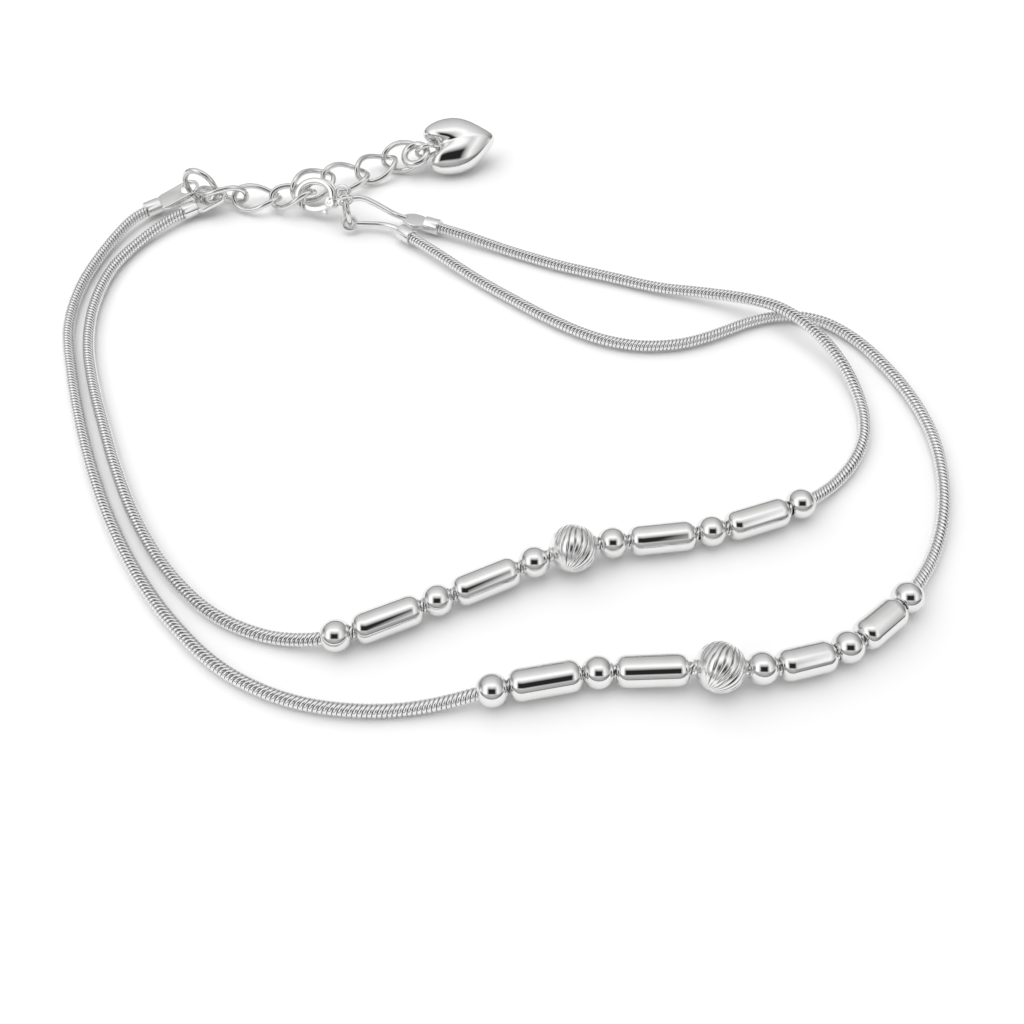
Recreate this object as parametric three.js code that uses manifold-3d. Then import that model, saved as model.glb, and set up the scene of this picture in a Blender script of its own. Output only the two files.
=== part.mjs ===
// Double-strand payal anklet lying in an open loop on a table: two snake chains strung with round, tube
// and swirl beads, an extender chain with a puffed heart on one side and a lobster clasp on the other.
// Millimetres, +Z up. The footprint is centred on the origin and the lowest points stand at z = 0.
import * as THREE from 'three';
import { mergeVertices } from 'three/addons/utils/BufferGeometryUtils.js';
import Module from 'manifold-3d';

const wasm = await Module();
wasm.setup();

// Snake chain
const CHAIN_D = 1.3;
const CHAIN_SIDES = 8;
const CHAIN_STEPS = 80;

// Beads
const ROUND_D = 3.05;
const TUBE_D = 3.0;
const LONG_TUBE = 6.5;
const SHORT_TUBE = 5.4;
const TUBE_CORNER = 0.9;
const TUBE_LIP = 0.5;
const TUBE_HOLLOW = 2.1;
const BEAD_HOLE = 1.8;
const SWIRL_D = 4.6;
const SWIRL_HOLE = 2.05;
const SWIRL_DEPTH = 0.16;
const SWIRL_RIDGES = 12;
const INNER_BEAD_GAP = 0.45;
const OUTER_BEAD_GAP = 0.32;
const SWIRL_SAG = 0.12;

// Crimp sleeves on the four chain ends
const SLEEVE_WALL = 0.2;
const SLEEVE_CLEARANCE = 0.15;
const SLEEVE_LENGTH = 2.0;
const SLEEVE_END = 0.6;
const SEAT_GAP = 0.1;
const TAB_THICKNESS = 0.55;
const TAB_RIM = 0.45;
const TAB_HOLE = 2.0;
const OVAL_LENGTH = 3.3;
const OVAL_WIDTH = 2.3;
const ARM_WIRE = 0.75;
const EYE_WIRE = 0.5;
const EYE_CLEARANCE = 0.25;

// Rings and links
const BIG_RING_D = 5.3;
const BIG_RING_WIRE = 0.75;
const SMALL_RING_D = 4.4;
const SMALL_RING_WIRE = 0.65;
const LINK_LENGTH = 6.6;
const LINK_WIDTH = 4.3;
const LINK_WIRE = 0.7;
const LINK_TWIST = 38;
const DROP_RING_D = 4.0;
const DROP_RING_WIRE = 0.95;

// Lobster clasp, measured from the centre of its tail eyelet
const CLASP_EYE_D = 2.4;
const CLASP_EYE_HOLE = 1.6;
const CLASP_EYE_THICKNESS = 0.7;
const CLASP_BOW = 3.75;
const CLASP_LENGTH = 5.9;
const CLASP_WIDTH = 4.3;
const CLASP_NOSE = 1.0;
const CLASP_BACK = 0.85;
const CLASP_THICKNESS = 1.5;
const CLASP_BEVEL = 0.2;
const LEVER_THICKNESS = 0.6;
const LEVER_WIDTH = 0.75;
const LEVER_REACH = 1.65;
const LEVER_CLEARANCE = 0.15;
const PIVOT_PIN_D = 0.5;
const PIVOT_CLEARANCE = 0.15;
const PIVOT_EYE_WALL = 0.3;

// Puffed heart
const HEART_LENGTH = 9.2;
const HEART_WIDTH = 7.7;
const HEART_THICKNESS = 4.2;
const HEART_ROUNDING = 0.4;
const BAIL_D = 3.4;
const BAIL_WIRE = 0.6;

const FLOOR_CLEARANCE = 0.05;
const CROSS_GAP = 0.3;

const chainRadius = CHAIN_D / 2;
const sleeveRadius = chainRadius + SLEEVE_CLEARANCE + SLEEVE_WALL;
const holeRadius = BEAD_HOLE / 2;

// The lie of each strand as seen from above: x, y and, where the strand rises off the table, its lift as a
// share of one chain thickness. The row is the line that the beads follow.
const INNER_ROUTE = {
  left: [[-36.8, 26.5], [-39, 24.5], [-42, 20.9], [-44.3, 15.8], [-45, 9.5], [-44.2, 3], [-42.2, -3.2],
    [-39.6, -9.4], [-36.6, -16], [-33, -22.6], [-28.6, -28.6], [-23.4, -33.2], [-17.6, -35.5]],
  row: [[-12, -35.8], [-7.6, -34], [-3, -32], [1.6, -29.8], [6.3, -27.8], [10.4, -26.4], [14.4, -25.5],
    [18.9, -24.9], [23.5, -24.1], [28.1, -22.7], [32.5, -20.9], [36.5, -17.9]],
  right: [[36.6, -17.8], [39.6, -14.3], [41.4, -10.2], [41.6, -5.2, 0.1], [40.3, -0.4, 0.5], [37.9, 3.6, 0.9],
    [34.7, 6.9, 1], [31, 8.9, 0.75], [26.5, 10.6, 0.35], [21.5, 12, 0.05], [15.5, 14.1], [9.5, 16.2],
    [3.5, 18.9], [-2, 21.4], [-6.2, 23.3]],
};
const OUTER_ROUTE = {
  left: [[-41.5, 27], [-43.7, 24.6], [-46, 19.4], [-47.4, 12], [-47, 5], [-45.2, -1], [-42.6, -8],
    [-39.4, -15.4], [-36, -22], [-32, -28.3], [-27.4, -33.9], [-22, -38.7], [-16, -41.6], [-9.8, -42.7],
    [-4, -42.4]],
  row: [[2.2, -41.2], [7, -40.1], [11.8, -39.4], [16.6, -39.2], [22.1, -39.4], [26.1, -39.2], [30.4, -38.4],
    [34.3, -36.9], [37.7, -34.6], [40.7, -31.8], [43.2, -28.6]],
  right: [[44.8, -26.3], [46.9, -21.6], [48.1, -16.6], [48.4, -11.2], [47.6, -6.3], [46, -1.8], [43.2, 3.2],
    [39.8, 6.3], [35.6, 7.2], [31.2, 6.1], [26.8, 3.9], [22.4, 2.5], [17.8, 2.4], [13.6, 3.6], [9, 6.3],
    [4.4, 9.8], [-0.2, 13.6], [-4.6, 17.4], [-9.3, 21.7]],
};
const INNER_BEADS = ['round', 'long', 'round', 'long', 'round', 'swirl', 'round', 'long', 'round', 'long',
  'round'];
const OUTER_BEADS = ['round', 'long', 'round', 'long', 'swirl', 'round', 'short', 'round', 'short', 'round'];

// Where the loose metalwork lies: place, then yaw, pitch and roll in degrees.
const BIG_RING_POSE = { at: [-35.6, 28.9], yaw: -22 };
const TAB_GRIP = 23;
const SMALL_RING_POSE = { at: [-16.8, 25.0], yaw: 107 };
const CLASP_GRIP = 42;
const UPPER_ARM_GRIP = 110;
const LOWER_ARM_GRIP = 215;
const CLASP_POSE = [166, -14, -52];
const LINK_POSES = [
  [-32.9, 28.55, 2.0, -1, -6.5, -47],
  [-28.65, 28.45, 1.35, 1, 0, 12],
  [-24.0, 28.2, 1.9, -4, 13.5, 2],
  [-21.7, 30.6, 1.85, 38, 1.5, 38],
  [-17.7, 32.5, 1.6, 19, -5, 26],
  [-13.9, 34.9, 1.5, 40, 0, 20],
  [-10.2, 36.8, 1.8, 16, 5.3, 37],
];
const DROP_RING_POSE = [-8.7, 36.15, 2.45, -43, -1.4, 21];
const HEART_POSE = [-5.7, 37.25, 2.6, 15, 2, 28];
const UPPER_ARM_ROUTE = [[-14.6, 24.9, 3.9], [-13.2, 24.9, 3.2], [-11.8, 24.8, 2.3], [-10.6, 24.8, 1.5]];
const LOWER_ARM_ROUTE = [[-14, 23.6, 1], [-12.5, 23.5, 1], [-10.8, 22.9, 1.05]];

function silver(roughness) {
  return new THREE.MeshStandardMaterial({ color: 0xd9dadc, roughness, metalness: 1 });
}

// One closed body from a geometry: shared vertices, no slivers without area, faces pointing out.
function closedBody(geometry) {
  const bare = new THREE.BufferGeometry();
  bare.setAttribute('position', geometry.attributes.position.clone());
  if (geometry.index) bare.setIndex(Array.from(geometry.index.array));
  const merged = mergeVertices(bare, 1e-4);
  const from = Array.from(merged.index.array);
  const kept = [];
  for (let i = 0; i < from.length; i += 3) {
    const [a, b, c] = from.slice(i, i + 3);
    if (a !== b && b !== c && c !== a) kept.push(a, b, c);
  }
  const p = merged.attributes.position;
  const corner = (i) => new THREE.Vector3().fromBufferAttribute(p, i);
  let volume = 0;
  for (let i = 0; i < kept.length; i += 3) {
    volume += corner(kept[i]).dot(corner(kept[i + 1]).cross(corner(kept[i + 2])));
  }
  if (volume < 0) kept.reverse();
  merged.setIndex(kept);
  return merged;
}

function toSolid(geometry) {
  const body = closedBody(geometry);
  return new wasm.Manifold(new wasm.Mesh({
    numProp: 3,
    vertProperties: new Float32Array(body.attributes.position.array),
    triVerts: new Uint32Array(body.index.array),
  }));
}

function fromSolid(solid) {
  const mesh = solid.getMesh();
  const geometry = new THREE.BufferGeometry();
  geometry.setAttribute('position', new THREE.BufferAttribute(new Float32Array(mesh.vertProperties), 3));
  geometry.setIndex(Array.from(mesh.triVerts));
  return geometry;
}

function node(name, geometry, roughness = 0.12) {
  geometry.computeVertexNormals();
  const mesh = new THREE.Mesh(geometry, silver(roughness));
  mesh.name = name;
  return mesh;
}

function turn(yaw, pitch, roll) {
  const rad = THREE.MathUtils.degToRad;
  return new THREE.Matrix4().makeRotationZ(rad(yaw))
    .multiply(new THREE.Matrix4().makeRotationY(-rad(pitch)))
    .multiply(new THREE.Matrix4().makeRotationX(rad(roll)));
}

function pose(mesh, [x, y, z, yaw = 0, pitch = 0, roll = 0]) {
  mesh.quaternion.setFromRotationMatrix(turn(yaw, pitch, roll));
  mesh.position.set(x, y, z);
  return mesh;
}

// A frame whose x axis runs along the given direction and whose z axis stays as upright as it can.
function frameAlong(direction, origin) {
  const x = direction.clone().normalize();
  const y = new THREE.Vector3(0, 0, 1).cross(x).normalize();
  const z = x.clone().cross(y);
  return new THREE.Matrix4().makeBasis(x, y, z).setPosition(origin);
}

function circleShape(radius, sides) {
  const shape = new THREE.Shape();
  for (let i = 0; i < sides; i += 1) {
    const a = (i / sides) * Math.PI * 2;
    if (i === 0) shape.moveTo(radius, 0);
    else shape.lineTo(radius * Math.cos(a), radius * Math.sin(a));
  }
  shape.closePath();
  return shape;
}

function rod(curve, radius, sides, steps) {
  return new THREE.ExtrudeGeometry(circleShape(radius, sides), {
    steps, extrudePath: curve, bevelEnabled: false,
  });
}

// A turned piece about its own x axis, from a profile of [x, radius] pairs.
function turned(profile, sides) {
  const points = profile.map(([x, r]) => new THREE.Vector2(r, -x));
  const geometry = new THREE.LatheGeometry(points, sides);
  geometry.rotateZ(Math.PI / 2);
  return geometry;
}

class Oval extends THREE.Curve {
  constructor(length, width, twist) {
    super();
    this.a = length / 2;
    this.b = width / 2;
    this.twist = THREE.MathUtils.degToRad(twist);
  }

  getPoint(t, target = new THREE.Vector3()) {
    const angle = t * Math.PI * 2;
    const across = this.b * Math.sin(angle);
    const lean = this.twist * Math.cos(angle);
    return target.set(this.a * Math.cos(angle), across * Math.cos(lean), across * Math.sin(lean));
  }
}

function wireLoop(length, width, wire, twist, steps) {
  const path = new Oval(length - wire, width - wire, twist);
  return closedBody(new THREE.TubeGeometry(path, steps, wire / 2, 6, true));
}

// Beads, each about its own x axis with the bore along it
function roundBead() {
  const radius = ROUND_D / 2;
  const open = Math.asin(holeRadius / radius);
  const profile = [];
  for (let i = 0; i <= 6; i += 1) {
    const a = open + (Math.PI - 2 * open) * (i / 6);
    profile.push([radius * Math.cos(a), radius * Math.sin(a)]);
  }
  profile.push(profile[0]);
  return closedBody(turned(profile, 12));
}

function tubeBead(length) {
  const half = length / 2;
  const rim = TUBE_D / 2 - holeRadius;
  const far = [[half - 2 * TUBE_LIP, TUBE_HOLLOW / 2], [half - TUBE_LIP, holeRadius]];
  for (let i = 0; i <= 3; i += 1) {
    const a = (i / 3) * (Math.PI / 2);
    far.push([half - TUBE_CORNER * (1 - Math.cos(a)), holeRadius + rim * Math.sin(a)]);
  }
  const near = far.map(([x, r]) => [-x, r]).reverse();
  return closedBody(turned([...far, ...near, far[0]], 12));
}

function swirlBead() {
  const radius = SWIRL_D / 2;
  const ball = new THREE.SphereGeometry(radius, SWIRL_RIDGES * 4, 12);
  const tilt = new THREE.Quaternion().setFromUnitVectors(
    new THREE.Vector3(0, 1, 0),
    new THREE.Vector3(-0.54, -0.8, -0.27).normalize(),
  );
  const p = ball.attributes.position;
  const v = new THREE.Vector3();
  for (let i = 0; i < p.count; i += 1) {
    v.fromBufferAttribute(p, i);
    const polar = v.angleTo(new THREE.Vector3(0, 1, 0));
    const around = Math.atan2(v.z, v.x);
    const placed = v.clone().applyQuaternion(tilt);
    const fromHole = placed.angleTo(new THREE.Vector3(-1, 0, 0));
    const fade = THREE.MathUtils.smoothstep(polar, 0.2, 0.5)
      * (1 - THREE.MathUtils.smoothstep(polar, 2.3, 2.7))
      * THREE.MathUtils.smoothstep(fromHole, 0.75, 1.05);
    const wave = 0.5 - 0.5 * Math.cos(SWIRL_RIDGES * (around + 0.35 * Math.sin(polar * 1.6)));
    placed.multiplyScalar(1 - (SWIRL_DEPTH * wave * fade) / radius);
    p.setXYZ(i, placed.x, placed.y, placed.z);
  }
  const drill = new THREE.CylinderGeometry(SWIRL_HOLE / 2, SWIRL_HOLE / 2, SWIRL_D + 1, 12);
  drill.rotateZ(Math.PI / 2);
  return fromSolid(toSolid(ball).subtract(toSolid(drill)));
}

// A round bead is as long as the distance between the rims of its hole.
const drilledLength = Math.sqrt(ROUND_D ** 2 - BEAD_HOLE ** 2);

const BEADS = {
  round: { length: drilledLength, radius: ROUND_D / 2, make: roundBead, kind: 'round' },
  long: { length: LONG_TUBE, radius: TUBE_D / 2, make: () => tubeBead(LONG_TUBE), kind: 'tube' },
  short: { length: SHORT_TUBE, radius: TUBE_D / 2, make: () => tubeBead(SHORT_TUBE), kind: 'tube' },
  swirl: { length: SWIRL_D, radius: SWIRL_D / 2, make: swirlBead, kind: 'swirl' },
};

// A bead sits straight between the places where the curved line enters and leaves it, at its own height.
function threadedFrame(line, points, knot, half) {
  const place = (side) => {
    const share = half / points[knot].distanceTo(points[knot + side]);
    return line.getPoint((knot + side * share) / (points.length - 1));
  };
  const [enters, leaves] = [place(-1), place(1)];
  const middle = enters.clone().add(leaves).multiplyScalar(0.5).setZ(points[knot].z);
  return frameAlong(leaves.sub(enters), middle);
}

// The strand's centreline in space, with the beads threaded on it
function strand(prefix, route, beads, gap) {
  const rest = chainRadius + FLOOR_CLEARANCE;
  const sleeveRest = sleeveRadius + FLOOR_CLEARANCE;
  const lifted = ([x, y, lift = 0]) => new THREE.Vector3(x, y, rest + lift * (CHAIN_D + CROSS_GAP));
  const left = route.left.map(lifted);
  const right = route.right.map(lifted);
  for (const end of [left[0], left[1], right.at(-1), right.at(-2)]) end.z = sleeveRest;

  const rowLine = new THREE.CatmullRomCurve3(route.row.map(([x, y]) => new THREE.Vector3(x, y, 0)));
  rowLine.arcLengthDivisions = 400;
  const rowLength = rowLine.getLength();
  const stations = [];
  let station = 0;
  beads.forEach((kind, i) => {
    if (i > 0) station += BEADS[beads[i - 1]].length / 2 + gap + BEADS[kind].length / 2;
    stations.push(station);
  });
  const swirlAt = stations[beads.indexOf('swirl')];
  const centres = beads.map((kind, i) => {
    const centre = rowLine.getPointAt(Math.min(stations[i] / rowLength, 1));
    const carried = BEADS.swirl.radius - SWIRL_SAG * Math.abs(stations[i] - swirlAt);
    centre.z = Math.max(BEADS[kind].radius, carried);
    return centre;
  });

  const points = [...left, ...centres, ...right];
  const line = new THREE.CatmullRomCurve3(points, false, 'centripetal');
  line.arcLengthDivisions = 800;
  const meshes = [node(`chain_${prefix}`, closedBody(rod(line, chainRadius, CHAIN_SIDES, CHAIN_STEPS)), 0.25)];
  beads.forEach((kind, i) => {
    const bead = BEADS[kind];
    const number = String(i + 1).padStart(2, '0');
    const mesh = node(`${prefix}_bead_${number}_${bead.kind}`, bead.make(), kind === 'swirl' ? 0.2 : 0.06);
    threadedFrame(line, points, left.length + i, bead.length / 2)
      .decompose(mesh.position, mesh.quaternion, mesh.scale);
    meshes.push(mesh);
  });
  const leftEnd = { tip: points[0], out: line.getTangent(0).negate() };
  const rightEnd = { tip: points.at(-1), out: line.getTangent(1) };
  return { meshes, leftEnd, rightEnd };
}

// The crimp sleeve in its own frame: the closed face at the origin, the mouth towards -x
function sleeve() {
  const bore = chainRadius + SLEEVE_CLEARANCE;
  const profile = [[0, 0], [0, sleeveRadius], [-SLEEVE_LENGTH, sleeveRadius], [-SLEEVE_LENGTH, bore],
    [-SLEEVE_END, bore], [-SLEEVE_END, 0]];
  return turned(profile, 10);
}

function sleeveFrame(end) {
  const face = end.tip.clone().addScaledVector(end.out.clone().normalize(), SEAT_GAP + SLEEVE_END);
  return frameAlong(end.out, face);
}

function plateFrom(shape) {
  const plate = new THREE.ExtrudeGeometry(shape, { depth: TAB_THICKNESS, bevelEnabled: false, curveSegments: 9 });
  plate.translate(0, 0, -TAB_THICKNESS / 2);
  return plate;
}

function ovalPlate(from, to, width) {
  const shape = new THREE.Shape();
  shape.absellipse((from + to) / 2, 0, (to - from) / 2, width / 2, 0, Math.PI * 2);
  return plateFrom(shape);
}

// An oblong tab with round ends and a hole around the centre of its far end
function tabPlate(from, reach) {
  const radius = TAB_HOLE / 2 + TAB_RIM;
  const shape = new THREE.Shape();
  shape.absarc(reach, 0, radius, -Math.PI / 2, Math.PI / 2);
  shape.absarc(from + radius, 0, radius, Math.PI / 2, (Math.PI * 3) / 2);
  const hole = new THREE.Path();
  hole.absarc(reach, 0, TAB_HOLE / 2, 0, Math.PI * 2);
  shape.holes.push(hole);
  return plateFrom(shape);
}

// Left caps: a flat oval tab that reaches from the sleeve to the wire of the big ring
function tabCap(name, end, grip) {
  const frame = sleeveFrame(end);
  const face = new THREE.Vector3().setFromMatrixPosition(frame);
  const reach = grip.clone().sub(face);
  const start = -SLEEVE_END * 0.75;
  const plate = tabPlate(start, reach.length());
  const tab = toSolid(plate.applyMatrix4(frameAlong(reach, face)));
  return node(name, fromSolid(toSolid(sleeve().applyMatrix4(frame)).add(tab)));
}

// Right caps: a wire arm that ends in an eye around the wire of the small ring
function armCap(name, end, grip, axis, route, withOval) {
  const frame = sleeveFrame(end);
  const face = new THREE.Vector3().setFromMatrixPosition(frame);
  const out = end.out.clone().normalize();
  let body = toSolid(sleeve().applyMatrix4(frame));
  let root = face.clone().addScaledVector(out, -SLEEVE_END * 0.5);
  if (withOval) {
    const plate = ovalPlate(-SLEEVE_END * 0.75, OVAL_LENGTH, OVAL_WIDTH);
    body = body.add(toSolid(plate.applyMatrix4(frame)));
    root = face.clone().addScaledVector(out, OVAL_LENGTH * 0.8);
  }
  const eyeRadius = SMALL_RING_WIRE / 2 + EYE_CLEARANCE + EYE_WIRE / 2;
  const east = new THREE.Vector3(1, 0, 0);
  const side = east.addScaledVector(axis, -east.dot(axis)).normalize();
  const eye = new THREE.TorusGeometry(eyeRadius, EYE_WIRE / 2, 6, 14);
  const eyeFrame = new THREE.Matrix4().makeBasis(side, axis.clone().cross(side), axis).setPosition(grip);
  body = body.add(toSolid(eye.applyMatrix4(eyeFrame)));
  const tip = grip.clone().addScaledVector(side, eyeRadius);
  const path = new THREE.CatmullRomCurve3([tip, ...route.map((q) => new THREE.Vector3(...q)), root]);
  return node(name, fromSolid(body.add(toSolid(rod(path, ARM_WIRE / 2, 8, 12)))));
}

// A standing jump ring: its mesh, and a function for the points and tangents of its wire
function standingRing(name, diameter, wire, { at, yaw }) {
  const radius = (diameter - wire) / 2;
  const centre = new THREE.Vector3(at[0], at[1], diameter / 2 + FLOOR_CLEARANCE);
  const mesh = node(name, closedBody(new THREE.TorusGeometry(radius, wire / 2, 6, 20)));
  mesh.quaternion.setFromRotationMatrix(turn(yaw, 0, 90));
  mesh.position.copy(centre);
  const along = new THREE.Vector3(1, 0, 0).applyMatrix4(turn(yaw, 0, 0));
  const up = new THREE.Vector3(0, 0, 1);
  const wireAt = (degrees) => {
    const a = THREE.MathUtils.degToRad(degrees);
    return centre.clone().addScaledVector(along, radius * Math.cos(a)).addScaledVector(up, radius * Math.sin(a));
  };
  const tangentAt = (degrees) => {
    const a = THREE.MathUtils.degToRad(degrees);
    return along.clone().multiplyScalar(-Math.sin(a)).addScaledVector(up, Math.cos(a));
  };
  return { mesh, wireAt, tangentAt };
}

// Lobster clasp in its own frame: tail eyelet at the origin, nose towards +x, lever on the +y side
const claspMid = CLASP_LENGTH / 2 - CLASP_NOSE / 2;
const claspHalf = CLASP_WIDTH / 2 - CLASP_BACK / 2;
const pivot = new THREE.Vector2(
  CLASP_BOW + claspMid * Math.cos(THREE.MathUtils.degToRad(150)),
  claspHalf * Math.sin(THREE.MathUtils.degToRad(150)) + 0.1,
);

// A band that follows the clasp's oval from one angle to another
function ovalBand(fromAngle, toAngle, endWidth, sideWidth, steps) {
  const outer = [];
  const inner = [];
  for (let i = 0; i <= steps; i += 1) {
    const a = THREE.MathUtils.degToRad(fromAngle + ((toAngle - fromAngle) * i) / steps);
    const c = Math.cos(a);
    const s = Math.sin(a);
    const at = (share) => new THREE.Vector2(
      CLASP_BOW + (claspMid + share * endWidth / 2) * c,
      (claspHalf + share * sideWidth / 2) * s,
    );
    outer.push(at(1));
    inner.unshift(at(-1));
  }
  return new THREE.Shape([...outer, ...inner]);
}

function slab(shape, thickness, bevel = 0) {
  const geometry = new THREE.ExtrudeGeometry(shape, {
    depth: thickness - 2 * bevel,
    bevelEnabled: bevel > 0,
    bevelThickness: bevel,
    bevelSize: bevel,
    bevelOffset: -bevel,
    bevelSegments: 1,
    curveSegments: 8,
  });
  geometry.translate(0, 0, bevel - thickness / 2);
  return toSolid(geometry);
}

function disc(x, y, diameter, thickness, sides) {
  const geometry = new THREE.CylinderGeometry(diameter / 2, diameter / 2, thickness, sides);
  geometry.rotateX(Math.PI / 2);
  geometry.translate(x, y, 0);
  return toSolid(geometry);
}

const pivotHole = PIVOT_PIN_D + 2 * PIVOT_CLEARANCE;
const pivotEye = pivotHole + 2 * PIVOT_EYE_WALL;

// The space beyond a plane across the clasp, on the lever side
function beyond(reach, to) {
  const geometry = new THREE.BoxGeometry(to - reach, CLASP_WIDTH, CLASP_THICKNESS * 2);
  geometry.translate(CLASP_BOW + (reach + to) / 2, CLASP_WIDTH / 2, 0);
  return toSolid(geometry);
}

// The nose ends in a face that stands across the lever's tip, so that the lever swings in past it.
function claspBody() {
  const bow = slab(ovalBand(152, 411, CLASP_NOSE, CLASP_BACK, 23), CLASP_THICKNESS, CLASP_BEVEL)
    .subtract(beyond(0, LEVER_REACH + LEVER_CLEARANCE));
  const cheeks = disc(pivot.x, pivot.y, pivotEye, CLASP_THICKNESS, 12);
  const eyelet = disc(0, 0, CLASP_EYE_D, CLASP_EYE_THICKNESS, 16);
  const slotWidth = LEVER_THICKNESS + 2 * LEVER_CLEARANCE;
  const slot = disc(pivot.x, pivot.y, pivotEye + 4 * LEVER_CLEARANCE, slotWidth, 14);
  const pin = disc(pivot.x, pivot.y, PIVOT_PIN_D, CLASP_THICKNESS - 2 * CLASP_BEVEL, 8);
  const eyeHole = disc(0, 0, CLASP_EYE_HOLE, CLASP_THICKNESS, 14);
  return fromSolid(bow.add(cheeks).add(eyelet).subtract(slot).add(pin).subtract(eyeHole));
}

function claspLever() {
  const arm = slab(ovalBand(30, 142, LEVER_WIDTH, LEVER_WIDTH, 10), LEVER_THICKNESS)
    .subtract(beyond(LEVER_REACH, CLASP_LENGTH));
  const thumbAt = [CLASP_BOW - claspMid * 0.45, claspHalf + LEVER_WIDTH * 0.55];
  const thumb = disc(...thumbAt, LEVER_WIDTH * 0.9, LEVER_THICKNESS, 10);
  const eye = disc(pivot.x, pivot.y, pivotEye, LEVER_THICKNESS, 12);
  const hole = disc(pivot.x, pivot.y, pivotHole, CLASP_THICKNESS, 8);
  return fromSolid(arm.add(thumb).add(eye).subtract(hole));
}

// Puffed heart in its own frame: cleft at the origin, point towards +x
function puffedHeart() {
  const outline = [];
  const steps = 26;
  for (let i = 0; i < steps; i += 1) {
    const t = (i / steps) * Math.PI * 2;
    const wide = THREE.MathUtils.lerp(Math.sin(t) ** 3, Math.sin(t), HEART_ROUNDING);
    const tall = (13 * Math.cos(t) - 3 * Math.cos(2 * t) - 2 * Math.cos(3 * t) - Math.cos(4 * t) - 7) / 26.6;
    outline.push([-tall * HEART_LENGTH, (wide * HEART_WIDTH) / 2]);
  }
  const shares = [1, 0.86, 0.55, 0.2];
  const heights = [0, 0.55, 0.88, 1];
  const mid = [HEART_LENGTH * 0.3, 0];
  const vertices = [];
  const faces = [];
  for (const side of [1, -1]) {
    shares.forEach((share, k) => outline.forEach(([x, y]) => {
      vertices.push(mid[0] + (x - mid[0]) * share, y * share, (side * heights[k] * HEART_THICKNESS) / 2);
    }));
    vertices.push(mid[0], 0, (side * HEART_THICKNESS) / 2);
  }
  const perSide = shares.length * steps + 1;
  for (const [s, flip] of [[0, false], [1, true]]) {
    const base = s * perSide;
    const add = (a, b, c) => faces.push(...(flip ? [a, c, b] : [a, b, c]));
    for (let i = 0; i < steps; i += 1) {
      const j = (i + 1) % steps;
      for (let k = 0; k < shares.length - 1; k += 1) {
        const lo = base + k * steps;
        const hi = lo + steps;
        add(lo + i, lo + j, hi + j);
        add(lo + i, hi + j, hi + i);
      }
      add(base + (shares.length - 1) * steps + i, base + (shares.length - 1) * steps + j, base + perSide - 1);
    }
  }
  const geometry = new THREE.BufferGeometry();
  geometry.setAttribute('position', new THREE.Float32BufferAttribute(vertices, 3));
  geometry.setIndex(faces);
  return geometry;
}

function heartDrop() {
  const bail = new THREE.TorusGeometry((BAIL_D - BAIL_WIRE) / 2, BAIL_WIRE / 2, 6, 14);
  bail.rotateX(Math.PI / 2);
  bail.translate(BAIL_WIRE / 4 - BAIL_D / 2, 0, 0);
  return fromSolid(toSolid(puffedHeart()).add(toSolid(bail)));
}

const anklet = new THREE.Group();
const inner = strand('inner', INNER_ROUTE, INNER_BEADS, INNER_BEAD_GAP);
const outer = strand('outer', OUTER_ROUTE, OUTER_BEADS, OUTER_BEAD_GAP);
anklet.add(...inner.meshes, ...outer.meshes);

const bigRing = standingRing('ring_left', BIG_RING_D, BIG_RING_WIRE, BIG_RING_POSE);
anklet.add(bigRing.mesh);
anklet.add(tabCap('cap_outer_left', outer.leftEnd, bigRing.wireAt(180 + TAB_GRIP)));
anklet.add(tabCap('cap_inner_left', inner.leftEnd, bigRing.wireAt(-TAB_GRIP)));

const smallRing = standingRing('ring_right', SMALL_RING_D, SMALL_RING_WIRE, SMALL_RING_POSE);
anklet.add(smallRing.mesh);
anklet.add(armCap('cap_inner_right', inner.rightEnd, smallRing.wireAt(UPPER_ARM_GRIP),
  smallRing.tangentAt(UPPER_ARM_GRIP), UPPER_ARM_ROUTE, true));
anklet.add(armCap('cap_outer_right', outer.rightEnd, smallRing.wireAt(LOWER_ARM_GRIP),
  smallRing.tangentAt(LOWER_ARM_GRIP), LOWER_ARM_ROUTE, false));

LINK_POSES.forEach((at, i) => {
  const link = wireLoop(LINK_LENGTH, LINK_WIDTH, LINK_WIRE, -LINK_TWIST, 20);
  anklet.add(pose(node(`extender_link_${i + 1}`, link), at));
});

const clasp = new THREE.Group();
clasp.quaternion.setFromRotationMatrix(turn(...CLASP_POSE));
clasp.position.copy(smallRing.wireAt(CLASP_GRIP));
clasp.add(node('clasp_body', claspBody()), node('clasp_lever', claspLever()));
anklet.add(clasp);

const dropRing = wireLoop(DROP_RING_D, DROP_RING_D, DROP_RING_WIRE, 0, 18);
anklet.add(pose(node('drop_ring', dropRing), DROP_RING_POSE));
anklet.add(pose(node('drop_heart', heartDrop()), HEART_POSE));

// Centred on its own footprint, with the lowest point at z = 0
const whole = new THREE.Group();
whole.add(anklet);
whole.updateMatrixWorld(true);
const box = new THREE.Box3().setFromObject(whole, true);
anklet.position.set(-(box.min.x + box.max.x) / 2, -(box.min.y + box.max.y) / 2, -box.min.z);
whole.updateMatrixWorld(true);

export default whole;
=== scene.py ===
import math
import bpy
import bmesh
from mathutils import Matrix, Vector, geometry, noise


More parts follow.
